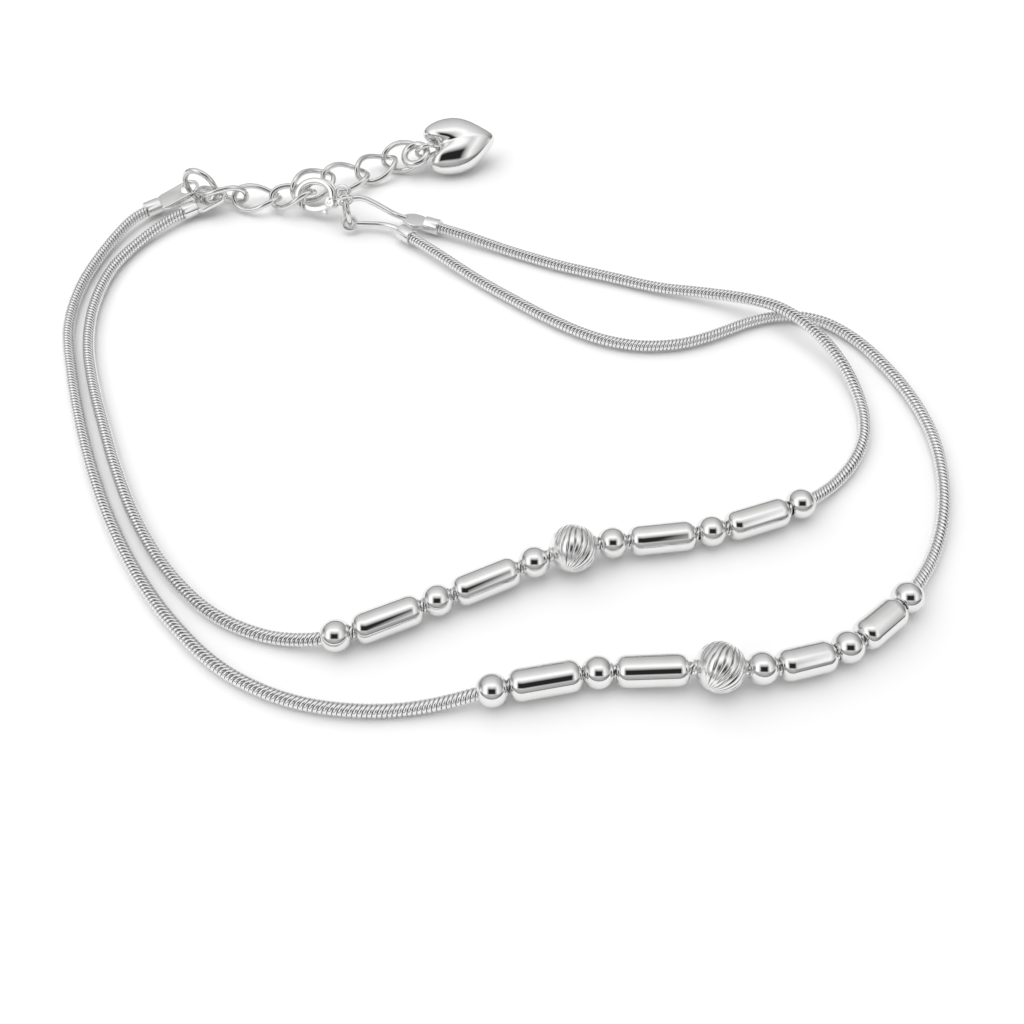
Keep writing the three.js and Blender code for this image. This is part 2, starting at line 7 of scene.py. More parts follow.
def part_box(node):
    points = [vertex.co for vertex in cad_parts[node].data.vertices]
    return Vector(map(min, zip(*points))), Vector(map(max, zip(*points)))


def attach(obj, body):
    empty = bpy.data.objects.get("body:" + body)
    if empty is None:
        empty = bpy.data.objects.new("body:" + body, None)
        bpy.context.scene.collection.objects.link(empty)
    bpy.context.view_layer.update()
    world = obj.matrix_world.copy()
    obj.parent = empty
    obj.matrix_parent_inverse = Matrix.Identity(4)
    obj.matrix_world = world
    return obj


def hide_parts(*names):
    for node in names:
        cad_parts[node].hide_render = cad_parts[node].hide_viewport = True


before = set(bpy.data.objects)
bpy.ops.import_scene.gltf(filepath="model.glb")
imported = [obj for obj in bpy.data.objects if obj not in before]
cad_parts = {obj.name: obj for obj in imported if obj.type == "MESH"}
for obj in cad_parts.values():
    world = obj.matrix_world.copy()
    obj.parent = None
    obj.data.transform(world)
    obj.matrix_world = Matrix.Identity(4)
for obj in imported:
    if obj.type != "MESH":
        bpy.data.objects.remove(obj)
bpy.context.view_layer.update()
mm = 0.001
print("frame loaded")

# The big jump ring stands in a known place of the strands' lie: it gives the shift to the frame.
leftRing = {"at": (-35.6, 28.9), "diameter": 5.3, "wire": 0.75, "yaw": -22, "lift": 0.05}
ringLow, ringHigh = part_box("ring_left")
leftRingHeight = leftRing["diameter"] / 2 + leftRing["lift"]
lieShift = (ringLow + ringHigh) / 2 / mm - Vector((*leftRing["at"], leftRingHeight))

# Camera: on the bead side, looking down at the table with a level horizon
viewFrom = {"at": (4.0, -82.0, 82.8), "down": 53.46, "lens": 36.0, "sensor": 36.0}
cameraData = bpy.data.cameras.new("photoCamera")
cameraData.lens = viewFrom["lens"]
cameraData.sensor_width = viewFrom["sensor"]
cameraData.clip_start = 0.001
cameraObject = bpy.data.objects.new("photoCamera", cameraData)
cameraObject.location = (Vector(viewFrom["at"]) + lieShift) * mm
cameraObject.rotation_euler = (math.radians(90 - viewFrom["down"]), 0, 0)
bpy.context.collection.objects.link(cameraObject)
bpy.context.scene.camera = cameraObject
print("camera set")


def hexColour(text):
    values = [int(text[i:i + 2], 16) / 255 for i in (1, 3, 5)]
    linear = [v / 12.92 if v <= 0.04045 else ((v + 0.055) / 1.055) ** 2.4 for v in values]
    return (*linear, 1.0)


def addNode(tree, kind, settings=None, links=None):
    node = tree.nodes.new(kind)
    for name, value in (settings or {}).items():
        if isinstance(name, int) or name in node.inputs:
            node.inputs[name].default_value = value
        else:
            setattr(node, name, value)
    for name, source in (links or {}).items():
        tree.links.new(source, node.inputs[name])
    return node


# Finishes: haze is the cloudiness of the polish in mm, grain the fine texture of the skin in mm. The last
# dark colour is painted shade, for the swirl ball's grooves and the gaps between the snake chain's plates
finishes = {
    "mirrorSilver": {"colour": "#EFEFF0", "worn": "#E6E5E3", "smooth": 0.03, "dull": 0.08, "hazeMm": 1.8,
                     "grainMm": 0.06, "grain": 0.04},
    "wireSilver": {"colour": "#E9E9EA", "worn": "#D8D7D4", "smooth": 0.06, "dull": 0.14, "hazeMm": 0.9,
                   "grainMm": 0.07, "grain": 0.08},
    "castSilver": {"colour": "#F8F8F8", "worn": "#ECEBEA", "smooth": 0.16, "dull": 0.28, "hazeMm": 0.7,
                   "grainMm": 0.08, "grain": 0.12, "paintedShade": "#4E4E50"},
    "snakeSilver": {"colour": "#F6F6F7", "worn": "#EAE9E8", "smooth": 0.16, "dull": 0.3, "hazeMm": 0.6,
                    "grainMm": 0.07, "grain": 0.06, "paintedShade": "#4E4E50"},
}


def silverMaterial(name):
    finish = finishes[name]
    material = bpy.data.materials.new(name)
    material.use_nodes = True
    tree = material.node_tree
    tree.nodes.clear()
    place = addNode(tree, "ShaderNodeTexCoord").outputs["Object"]
    haze = addNode(tree, "ShaderNodeTexNoise", {"Scale": 1 / (finish["hazeMm"] * mm), "Detail": 3.0},
                   {"Vector": place}).outputs["Fac"]
    roughness = addNode(tree, "ShaderNodeMapRange", {"To Min": finish["smooth"], "To Max": finish["dull"]},
                        {"Value": haze}).outputs["Result"]
    colour = addNode(tree, "ShaderNodeMix", {"data_type": "RGBA", 6: hexColour(finish["colour"]),
                                             7: hexColour(finish["worn"])}, {0: haze}).outputs[2]
    # Painted shade: the colour is darkened by the mesh's painted shade mask, in grooves and between chain
    # plates
    if "paintedShade" in finish:
        depth = addNode(tree, "ShaderNodeAttribute", {"attribute_name": "paintedShade"}).outputs["Fac"]
        colour = addNode(tree, "ShaderNodeMix", {"data_type": "RGBA", 7: hexColour(finish["paintedShade"])},
                         {0: depth, 6: colour}).outputs[2]
    grain = addNode(tree, "ShaderNodeTexNoise", {"Scale": 1 / (finish["grainMm"] * mm), "Detail": 2.0},
                    {"Vector": place}).outputs["Fac"]
    bump = addNode(tree, "ShaderNodeBump", {"Strength": finish["grain"], "Distance": 0.005 * mm},
                   {"Height": grain}).outputs["Normal"]
    shader = addNode(tree, "ShaderNodeBsdfPrincipled", {"Metallic": 1.0},
                     {"Base Color": colour, "Roughness": roughness, "Normal": bump})
    addNode(tree, "ShaderNodeOutputMaterial", {}, {"Surface": shader.outputs["BSDF"]})
    return material


silver = {name: silverMaterial(name) for name in finishes}
print("materials made")


def finishPiece(bm, name, finish, nodes, body="anklet"):
    bmesh.ops.remove_doubles(bm, verts=bm.verts, dist=0.0005 * mm)
    bmesh.ops.recalc_face_normals(bm, faces=bm.faces)
    for face in bm.faces:
        face.smooth = True
    mesh = bpy.data.meshes.new(name)
    bm.to_mesh(mesh)
    bm.free()
    mesh.materials.append(silver[finish])
    piece = bpy.data.objects.new(name, mesh)
    bpy.context.collection.objects.link(piece)
    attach(piece, body)
    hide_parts(*nodes)
    return piece


def turn(yaw, pitch, roll):
    return (Matrix.Rotation(math.radians(yaw), 4, "Z") @ Matrix.Rotation(math.radians(-pitch), 4, "Y")
            @ Matrix.Rotation(math.radians(roll), 4, "X"))


def basis(x, y, z, at):
    matrix = Matrix((x, y, z)).transposed().to_4x4()
    matrix.translation = at
    return matrix


# A frame with x along a direction and y level
def frameAlong(direction, at):
    x = direction.normalized()
    y = Vector((0, 0, 1)).cross(x).normalized()
    return basis(x, y, x.cross(y), at)


# The three axes of a node's shape, longest first, with its middle
def shapeAxes(name):
    bm = bmesh.new()
    bm.from_mesh(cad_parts[name].data)
    bmesh.ops.remove_doubles(bm, verts=bm.verts, dist=0.001 * mm)
    points = [v.co.copy() for v in bm.verts]
    bm.free()
    middle = sum(points, Vector()) / len(points)
    spread = Matrix([[sum((p - middle)[i] * (p - middle)[j] for p in points) * 1e6 for j in range(3)]
                     for i in range(3)])
    longest = Vector((0.6, 0.5, 0.4))
    for _ in range(200):
        longest = (spread @ longest).normalized()
    least = Vector((0.3, 0.4, 0.9))
    reverse = spread.inverted()
    for _ in range(200):
        least = (reverse @ least).normalized()
    least = (least - least.dot(longest) * longest).normalized()
    return basis(longest, least.cross(longest), least, middle)


# A body turned about its x axis from a profile of (x, radius) in mm
def turnedBody(profile, steps, closed=True):
    bm = bmesh.new()
    points = [bm.verts.new((x * mm, 0, radius * mm)) for x, radius in profile]
    pairs = list(zip(points, points[1:]))
    if closed:
        pairs.append((points[-1], points[0]))
    for pair in pairs:
        bm.edges.new(pair)
    bmesh.ops.spin(bm, geom=bm.verts[:] + bm.edges[:], cent=(0, 0, 0), axis=(1, 0, 0), angle=math.tau,
                   steps=steps, use_merge=True)
    return bm


# A ring of round wire about the z axis, mm
def wireRing(diameter, wire, steps, sides):
    radius = (diameter - wire) / 2
    bm = bmesh.new()
    place = Matrix.Translation((radius * mm, 0, 0)) @ Matrix.Rotation(math.pi / 2, 4, "X")
    bmesh.ops.create_circle(bm, segments=sides, radius=wire / 2 * mm, matrix=place)
    bmesh.ops.spin(bm, geom=bm.verts[:] + bm.edges[:], cent=(0, 0, 0), axis=(0, 0, 1), angle=math.tau,
                   steps=steps, use_merge=True)
    return bm


# A round wire along points, mm
def wireAlong(points, radius, bm):
    curve = bpy.data.curves.new("wirePath", "CURVE")
    curve.dimensions = "3D"
    curve.bevel_depth = radius * mm
    curve.bevel_resolution = 4
    curve.resolution_u = 10
    curve.use_fill_caps = True
    spline = curve.splines.new("BEZIER")
    spline.bezier_points.add(len(points) - 1)
    for knot, point in zip(spline.bezier_points, points):
        knot.co = point
        knot.handle_left_type = "AUTO"
        knot.handle_right_type = "AUTO"
    holder = bpy.data.objects.new("wirePath", curve)
    mesh = bpy.data.meshes.new_from_object(holder)
    bm.from_mesh(mesh)
    bpy.data.objects.remove(holder)
    bpy.data.meshes.remove(mesh)


def join(bm, other, matrix=Matrix()):
    bmesh.ops.transform(other, matrix=matrix, verts=other.verts)
    bmesh.ops.recalc_face_normals(other, faces=other.faces)
    mesh = bpy.data.meshes.new("part")
    other.to_mesh(mesh)
    other.free()
    bm.from_mesh(mesh)
    bpy.data.meshes.remove(mesh)


# Snake chain: thin pressed plates, slanted, stacked along a core painted dark as the shade in the gaps
# between the plates. The path runs down the middle of the chain's solid, ring by ring, from its end at the
# left caps.
snakeChain = {"diameter": 1.3, "core": 1.12, "pitch": 0.43, "plate": 0.37, "slant": 0.6, "hidden": 0.5}


def chainPath(name):
    bm = bmesh.new()
    bm.from_mesh(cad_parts[name].data)
    bmesh.ops.remove_doubles(bm, verts=bm.verts, dist=0.001 * mm)
    start = (ringLow + ringHigh) / 2
    first = min(bm.verts, key=lambda v: (v.co - start).length)
    layer = {v for v in bm.verts if (v.co - first.co).length < snakeChain["diameter"] * 1.02 * mm}
    seen = set(layer)
    path = []
    while layer:
        path.append(sum((v.co for v in layer), Vector()) / len(layer))
        layer = {e.other_vert(v) for v in layer for e in v.link_edges} - seen
        seen |= layer
    bm.free()
    return path


# Even steps along a smooth line through the points: (place, direction) each
def evenSteps(points, step):
    dense = []
    for i in range(len(points) - 1):
        before = points[max(i - 1, 0)]
        after = points[min(i + 2, len(points) - 1)]
        handleA = points[i] + (points[i + 1] - before) / 6
        handleB = points[i + 1] - (after - points[i]) / 6
        dense += geometry.interpolate_bezier(points[i], handleA, handleB, points[i + 1], 24)[:-1]
    dense.append(points[-1])
    steps = []
    walked = 0.0
    for a, b in zip(dense, dense[1:]):
        length = (b - a).length
        while walked <= length:
            steps.append((a.lerp(b, walked / length), (b - a).normalized()))
            walked += step
        walked -= length
    return steps


strandBeads = {
    "inner": ["round", "long", "round", "long", "round", "swirl", "round", "long", "round", "long", "round"],
    "outer": ["round", "long", "round", "long", "swirl", "round", "short", "round", "short", "round"],
}
beadForms = {
    "round": {"diameter": 3.05, "length": 3.05, "word": "round"},
    "long": {"diameter": 3.0, "length": 6.5, "word": "tube"},
    "short": {"diameter": 3.0, "length": 5.4, "word": "tube"},
    "swirl": {"diameter": 4.6, "length": 4.6, "word": "swirl"},
}
paths = {side: chainPath(f"chain_{side}") for side in strandBeads}
fineSteps = {side: evenSteps(paths[side], 0.1 * mm) for side in paths}


def beadPlaces(side):
    places = []
    for i, kind in enumerate(strandBeads[side]):
        name = f"{side}_bead_{i + 1:02d}_{beadForms[kind]['word']}"
        low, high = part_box(name)
        middle = (low + high) / 2
        at, direction = min(fineSteps[side], key=lambda s: (s[0] - middle).length)
        if beadForms[kind]["word"] == "tube":
            axis = shapeAxes(name).col[0].to_3d()
            direction = axis if axis.dot(direction) > 0 else -axis
        places.append((name, kind, middle, direction))
    return places


places = {side: beadPlaces(side) for side in strandBeads}


def snakePlate():
    half = snakeChain["plate"] / 2
    radius = snakeChain["diameter"] / 2
    bm = turnedBody([(-half, radius * 0.86), (-half * 0.35, radius), (half * 0.45, radius * 0.985),
                     (half, radius * 0.86)], 14, closed=False)
    for v in bm.verts:
        v.co.x += v.co.y * snakeChain["slant"]
    mesh = bpy.data.meshes.new("plate")
    bm.to_mesh(mesh)
    bm.free()
    return mesh


def insideBead(side, point):
    for name, kind, at, direction in places[side]:
        if abs((point - at).dot(direction)) < (beadForms[kind]["length"] / 2 - snakeChain["hidden"]) * mm:
            if (point - at).length < beadForms[kind]["length"] * mm:
                return True
    return False


def buildChain(side):
    bm = bmesh.new()
    core = evenSteps(paths[side], 1.0 * mm)
    wireAlong([at for at, direction in core] + [paths[side][-1]], snakeChain["core"] / 2, bm)
    # Painted shade: the whole core gets the full dark colour, seen only in the gaps between the plates
    paintedShade = bm.verts.layers.float.new("paintedShade")
    for v in bm.verts:
        v[paintedShade] = 1.0
    plate = snakePlate()
    for at, direction in evenSteps(paths[side], snakeChain["pitch"] * mm):
        if insideBead(side, at):
            continue
        count = len(bm.verts)
        bm.from_mesh(plate)
        bm.verts.ensure_lookup_table()
        bmesh.ops.transform(bm, matrix=frameAlong(direction, at), verts=bm.verts[count:])
    finishPiece(bm, f"snake_chain_{side}", "snakeSilver", [f"chain_{side}"])


for side in strandBeads:
    buildChain(side)
print("chains made")


def quarter(x, radius, reachX, reachR, fromAngle, toAngle, steps):
    angles = [math.radians(fromAngle + (toAngle - fromAngle) * i / steps) for i in range(steps + 1)]
    return [(x + reachX * math.cos(a), radius + reachR * math.sin(a)) for a in angles]


# The hole of every bead, and the reach of a tube's rounded end along it
bore = {"radius": 0.7, "corner": 1.1}


def roundBead():
    radius = beadForms["round"]["diameter"] / 2
    opening = math.degrees(math.asin(bore["radius"] / radius))
    return turnedBody(quarter(0, 0, radius, radius, opening, 180 - opening, 28), 48)


def tubeBead(length):
    radius = beadForms["long"]["diameter"] / 2
    half = length / 2
    corner = bore["corner"]
    right = quarter(half - corner, bore["radius"], corner, radius - bore["radius"], 0, 90, 12)
    return turnedBody(right + [(-x, r) for x, r in reversed(right)], 48)


# Swirl ball: fine uneven grooves that fan out from a pole low at the side, smooth towards the near hole.
# The fades are angles from the pole and from the hole, in radians; more sharpness cuts thinner grooves.
swirl = {"pole": (-0.54, -0.8, -0.27), "ridges": 25, "depth": 0.13, "curl": 0.05, "wander": 0.12,
         "sharpness": 5, "poleFade": (0.15, 0.4), "farFade": (2.4, 2.8), "holeFade": (0.7, 1.0)}


def smoothstep(x, low, high):
    share = min(max((x - low) / (high - low), 0), 1)
    return share * share * (3 - 2 * share)


def swirlBead():
    radius = beadForms["swirl"]["diameter"] / 2 * mm
    bm = bmesh.new()
    bmesh.ops.create_uvsphere(bm, u_segments=300, v_segments=80, radius=radius)
    paintedShade = bm.verts.layers.float.new("paintedShade")
    tilt = Vector((0, 0, 1)).rotation_difference(Vector(swirl["pole"]).normalized())
    for v in bm.verts:
        polar = v.co.angle(Vector((0, 0, 1)), 0)
        around = math.atan2(v.co.y, v.co.x)
        v.co.rotate(tilt)
        fromHole = v.co.angle(Vector((-1, 0, 0)), 0)
        fade = (smoothstep(polar, *swirl["poleFade"]) * (1 - smoothstep(polar, *swirl["farFade"]))
                * smoothstep(fromHole, *swirl["holeFade"]))
        spot = Vector((math.cos(around) * 1.5, math.sin(around) * 1.5, polar * 1.1))
        bend = swirl["curl"] * math.sin(polar * 1.6)
        phase = swirl["ridges"] * (around + bend + swirl["wander"] * noise.noise(spot))
        strength = 0.7 + 0.6 * noise.noise(spot * 3 + Vector((5, 0, 0)))
        cut = (0.5 - 0.5 * math.cos(phase)) ** swirl["sharpness"] * fade * strength
        v.co *= 1 - swirl["depth"] * mm * cut / radius
        # Painted shade: the deeper a vertex lies in a groove, the darker its colour
        v[paintedShade] = min(cut, 1.0)
        across = math.hypot(v.co.y, v.co.z)
        lip = bore["radius"] * mm
        if across < lip and across > 0:
            v.co.y *= lip / across
            v.co.z *= lip / across
    return bm


def buildBeads():
    for side in strandBeads:
        for name, kind, at, direction in places[side]:
            if kind == "swirl":
                bm = swirlBead()
            elif kind == "round":
                bm = roundBead()
            else:
                bm = tubeBead(beadForms[kind]["length"])
            bmesh.ops.transform(bm, matrix=frameAlong(direction, at), verts=bm.verts)
            finishPiece(bm, f"{name}_look", "castSilver" if kind == "swirl" else "mirrorSilver", [name])


buildBeads()
print("beads made")

# Jump rings and the twisted oval links of the extender chain
smallRing = {"at": (-16.8, 25.0), "diameter": 4.4, "wire": 0.65, "yaw": 107, "lift": 0.05}
dropRing = {"diameter": 4.0, "wire": 0.95}
link = {"length": 6.6, "width": 4.3, "wire": 0.7, "twist": -38, "count": 7}


def ringFrame(ring):
    x, y = ring["at"]
    at = (Vector((x, y, ring["diameter"] / 2 + ring["lift"])) + lieShift) * mm
    return Matrix.Translation(at) @ turn(ring["yaw"], 0, 90)


def wireAt(ring, degrees):
    radius = (ring["diameter"] - ring["wire"]) / 2 * mm
    a = math.radians(degrees)
    return ringFrame(ring) @ Vector((radius * math.cos(a), radius * math.sin(a), 0))


def tangentAt(ring, degrees):
    a = math.radians(degrees)
    return (ringFrame(ring).to_3x3() @ Vector((-math.sin(a), math.cos(a), 0))).normalized()


def buildRing(name, ring):
    bm = wireRing(ring["diameter"], ring["wire"], 64, 16)
    bmesh.ops.transform(bm, matrix=ringFrame(ring), verts=bm.verts)
    finishPiece(bm, f"{name}_look", "wireSilver", [name])


def twistedLink():
    a = (link["length"] - link["wire"]) / 2 * mm
    b = (link["width"] - link["wire"]) / 2 * mm
    bm = wireRing(link["width"], link["wire"], 72, 14)
    for v in bm.verts:
        around = math.atan2(v.co.y, v.co.x)
        out = math.hypot(v.co.x, v.co.y) - b
        normal = Vector((b * math.cos(around), a * math.sin(around), 0)).normalized()
        lean = Matrix.Rotation(math.radians(link["twist"]) * math.cos(around), 3, "X")
        v.co = lean @ (Vector((a * math.cos(around), b * math.sin(around), v.co.z)) + normal * out)
    return bm


def buildLinks():
    for i in range(link["count"]):
        name = f"extender_link_{i + 1}"
        bm = twistedLink()
        bmesh.ops.transform(bm, matrix=shapeAxes(name), verts=bm.verts)
        finishPiece(bm, f"{name}_look", "wireSilver", [name])


buildRing("ring_left", leftRing)
buildRing("ring_right", smallRing)
buildLinks()
dropRingBody = wireRing(dropRing["diameter"], dropRing["wire"], 64, 20)
bmesh.ops.transform(dropRingBody, matrix=shapeAxes("drop_ring"), verts=dropRingBody.verts)
finishPiece(dropRingBody, "drop_ring_look", "wireSilver", ["drop_ring"])
print("rings and links made")

# Crimp sleeves: a turned cup over the chain's end, closed face at the origin, mouth towards -x
sleeve = {"radius": 1.0, "bore": 0.8, "length": 2.0, "end": 0.6, "edge": 0.12, "seat": 0.1}
tab = {"thickness": 0.55, "rim": 0.45, "hole": 2.0, "grip": 23, "edge": 0.14}
oval = {"length": 3.3, "width": 2.3}
arm = {"wire": 0.75, "eyeWire": 0.5, "eyeClearance": 0.25, "upperGrip": 110, "lowerGrip": 215}
upperArm = [(-14.6, 24.9, 3.9), (-13.2, 24.9, 3.2), (-11.8, 24.8, 2.3), (-10.6, 24.8, 1.5)]
lowerArm = [(-14, 23.6, 1), (-12.5, 23.5, 1), (-10.8, 22.9, 1.05)]


def sleeveBody():
    radius = sleeve["radius"]
    edge = sleeve["edge"]
    length = sleeve["length"]
    face = quarter(-edge, radius - edge, edge, edge, 0, 90, 5)
    mouth = quarter(-length + edge, radius - edge, edge, edge, 90, 180, 5)
    return turnedBody([(0, 0), *face, *mouth, (-length, sleeve["bore"]), (-sleeve["end"], sleeve["bore"]),
                       (-sleeve["end"], 0)], 40, closed=False)


# The strand's end on one side: its last point and the direction out of it
def strandEnd(side, left):
    path = paths[side]
    tip, before = (path[0], path[1]) if left else (path[-1], path[-2])
    third = path[2] if left else path[-3]
    out = (tip - before) * 1.5 - (before - third) * 0.5
    return tip, out.normalized()


def sleeveFrame(side, left):
    tip, out = strandEnd(side, left)
    return frameAlong(out, tip + out * (sleeve["seat"] + sleeve["end"]) * mm), out


# A flat plate from an outline in mm, with a hole where one is given, its edges rounded
def plate(outline, thickness, edge, hole=None):
    bm = bmesh.new()
    rim = [bm.verts.new((x * mm, y * mm, -thickness / 2 * mm)) for x, y in outline]
    for a, b in zip(rim, rim[1:] + rim[:1]):
        bm.edges.new((a, b))
    if hole:
        x, radius = hole
        bmesh.ops.create_circle(bm, segments=40, radius=radius * mm,
                                matrix=Matrix.Translation((x * mm, 0, -thickness / 2 * mm)))
    bmesh.ops.triangle_fill(bm, edges=bm.edges[:], use_beauty=True)
    made = bmesh.ops.extrude_face_region(bm, geom=bm.faces[:])
    raised = [g for g in made["geom"] if isinstance(g, bmesh.types.BMVert)]
    bmesh.ops.translate(bm, vec=(0, 0, thickness * mm), verts=raised)
    bmesh.ops.recalc_face_normals(bm, faces=bm.faces)
    sharp = [e for e in bm.edges if len(e.link_faces) == 2 and e.calc_face_angle(0) > 1.2]
    bmesh.ops.bevel(bm, geom=sharp, offset=edge * mm, offset_type="OFFSET", segments=3, profile=0.5,
                    affect="EDGES", material=-1)
    return bm


def roundEnded(fromX, reach, radius, steps=18):
    far = [(reach + radius * math.cos(a), radius * math.sin(a))
           for a in [math.pi * (i / steps - 0.5) for i in range(steps + 1)]]
    near = [(fromX + radius - radius * math.cos(a), -radius * math.sin(a))
            for a in [math.pi * (i / steps - 0.5) for i in range(steps + 1)]]
    return far + near


def buildTabCap(name, side, grip):
    place, out = sleeveFrame(side, True)
    face = place.translation
    reach = wireAt(leftRing, grip) - face
    bm = bmesh.new()
    join(bm, sleeveBody(), place)
    radius = tab["hole"] / 2 + tab["rim"]
    length = reach.length / mm
    body = plate(roundEnded(-sleeve["end"] * 0.75, length, radius), tab["thickness"], tab["edge"],
                 (length, tab["hole"] / 2))
    join(bm, body, frameAlong(reach, face))
    finishPiece(bm, f"{name}_look", "mirrorSilver", [name])


def buildArmCap(name, side, grip, route, withOval):
    place, out = sleeveFrame(side, False)
    face = place.translation.copy()
    bm = bmesh.new()
    join(bm, sleeveBody(), place)
    root = face - out * sleeve["end"] * 0.5 * mm
    if withOval:
        start = -sleeve["end"] * 0.75
        middle = (start + oval["length"]) / 2
        half = (oval["length"] - start) / 2
        ring = [(middle + half * math.cos(a), oval["width"] / 2 * math.sin(a))
                for a in [math.tau * i / 40 for i in range(40)]]
        join(bm, plate(ring, tab["thickness"], tab["edge"]), place)
        root = face + out * oval["length"] * 0.8 * mm
    at = wireAt(smallRing, grip)
    axis = tangentAt(smallRing, grip)
    east = Vector((1, 0, 0))
    across = (east - axis * east.dot(axis)).normalized()
    eyeRadius = smallRing["wire"] / 2 + arm["eyeClearance"] + arm["eyeWire"] / 2
    eye = wireRing(2 * eyeRadius + arm["eyeWire"], arm["eyeWire"], 40, 14)
    join(bm, eye, basis(across, axis.cross(across), axis, at))
    tip = at + across * eyeRadius * mm
    wireAlong([tip, *[(Vector(p) + lieShift) * mm for p in route], root], arm["wire"] / 2, bm)
    finishPiece(bm, f"{name}_look", "mirrorSilver", [name])


buildTabCap("cap_outer_left", "outer", 180 + tab["grip"])
buildTabCap("cap_inner_left", "inner", -tab["grip"])
buildArmCap("cap_inner_right", "inner", arm["upperGrip"], upperArm, True)
buildArmCap("cap_outer_right", "outer", arm["lowerGrip"], lowerArm, False)
print("caps made")

# Lobster clasp in its own frame: tail eyelet at the origin, nose towards +x, lever on the +y side
clasp = {"turn": (166, -14, -52), "grip": 42, "eye": 2.4, "eyeHole": 1.6, "eyeThickness": 0.7, "bow": 3.75,
         "length": 5.9, "width": 4.3, "nose": 1.0, "back": 0.85, "thickness": 1.5, "edge": 0.3}
lever = {"thickness": 0.6, "width": 0.75, "reach": 1.65, "clearance": 0.15, "edge": 0.1}
pivot = {"pin": 0.5, "clearance": 0.15, "wall": 0.3, "angle": 150, "rise": 0.1}
claspMid = (clasp["length"] - clasp["nose"]) / 2
claspHalf = (clasp["width"] - clasp["back"]) / 2
pivotX = clasp["bow"] + claspMid * math.cos(math.radians(pivot["angle"]))
pivotY = claspHalf * math.sin(math.radians(pivot["angle"])) + pivot["rise"]
pivotEye = pivot["pin"] + 2 * pivot["clearance"] + 2 * pivot["wall"]


# A band along the clasp's oval; each side has its own start and end angle
def ovalBand(outerAngles, innerAngles, endWidth, sideWidth, steps):
    def at(angles, share, i):
        a = math.radians(angles[0] + (angles[1] - angles[0]) * i / steps)
        return (clasp["bow"] + (claspMid + share * endWidth / 2) * math.cos(a),
                (claspHalf + share * sideWidth / 2) * math.sin(a))
    return [at(outerAngles, 1, i) for i in range(steps + 1)] + [at(innerAngles, -1, steps - i)
                                                                for i in range(steps + 1)]


# The angle at which one side of a band reaches a distance along the clasp
def angleAt(reach, share, endWidth):
    return math.degrees(math.acos(reach / (claspMid + share * endWidth / 2)))


def disc(x, y, diameter, thickness, edge, hole=0, lift=0):
    radius = diameter / 2
    half = thickness / 2
    rim = quarter(half - edge, radius - edge, edge, edge, 0, 90, 4)
    profile = [(half, hole / 2), *rim, *[(-a, r) for a, r in reversed(rim)], (-half, hole / 2)]
    bm = turnedBody(profile, 36, closed=hole > 0)
    bmesh.ops.rotate(bm, cent=(0, 0, 0), matrix=Matrix.Rotation(-math.pi / 2, 3, "Y"), verts=bm.verts)
    bmesh.ops.translate(bm, vec=(x * mm, y * mm, lift * mm), verts=bm.verts)
    return bm


claspFrame = Matrix.Translation(wireAt(smallRing, clasp["grip"])) @ turn(*clasp["turn"])


def buildClasp():
    noseReach = lever["reach"] + lever["clearance"]
    outline = ovalBand((152, 360 + angleAt(noseReach, 1, clasp["nose"])),
                       (152, 360 + angleAt(noseReach, -1, clasp["nose"])), clasp["nose"], clasp["back"], 48)
    bm = bmesh.new()
    join(bm, plate(outline, clasp["thickness"], clasp["edge"]), claspFrame)
    slot = lever["thickness"] + 2 * lever["clearance"]
    cheek = (clasp["thickness"] - slot) / 2
    for side in (-1, 1):
        join(bm, disc(pivotX, pivotY, pivotEye, cheek, 0.1, lift=side * (slot + cheek) / 2), claspFrame)
    join(bm, disc(pivotX, pivotY, pivot["pin"], clasp["thickness"] + 0.1, 0.06), claspFrame)
    join(bm, disc(0, 0, clasp["eye"], clasp["eyeThickness"], 0.18, hole=clasp["eyeHole"]), claspFrame)
    finishPiece(bm, "clasp_body_look", "mirrorSilver", ["clasp_body"])


def buildLever():
    outline = ovalBand((angleAt(lever["reach"], 1, lever["width"]), 142),
                       (angleAt(lever["reach"], -1, lever["width"]), 142), lever["width"], lever["width"], 24)
    bm = bmesh.new()
    join(bm, plate(outline, lever["thickness"], lever["edge"]), claspFrame)
    thumb = disc(clasp["bow"] - claspMid * 0.45, claspHalf + lever["width"] * 0.4, lever["width"] * 0.9,
                 lever["thickness"], 0.1)
    join(bm, thumb, claspFrame)
    eye = disc(pivotX, pivotY, pivotEye, lever["thickness"], 0.08, hole=pivot["pin"] + 2 * pivot["clearance"])
    join(bm, eye, claspFrame)
    finishPiece(bm, "clasp_lever_look", "mirrorSilver", ["clasp_lever"], body="clasp_lever")


buildClasp()
buildLever()
print("clasp made")

# Puffed heart in its own frame: cleft at the origin, point towards +x, with its bail through the cleft
heart = {"pose": (-5.7, 37.25, 2.6, 15, 2, 28), "length": 9.2, "width": 7.7, "thickness": 4.2,
         "rounding": 0.6, "seam": 0.03, "seamWidth": 0.035, "valley": 0.14, "valleyWidth": 1.0,
         "bail": 3.4, "bailWire": 0.6}


def heartOutline(t):
    tall = (13 * math.cos(t) - 3 * math.cos(2 * t) - 2 * math.cos(3 * t) - math.cos(4 * t) - 7) / 26.6
    wide = math.sin(t) ** 3 * (1 - heart["rounding"]) + math.sin(t) * heart["rounding"]
    return Vector((-tall * heart["length"], wide * heart["width"] / 2, 0))


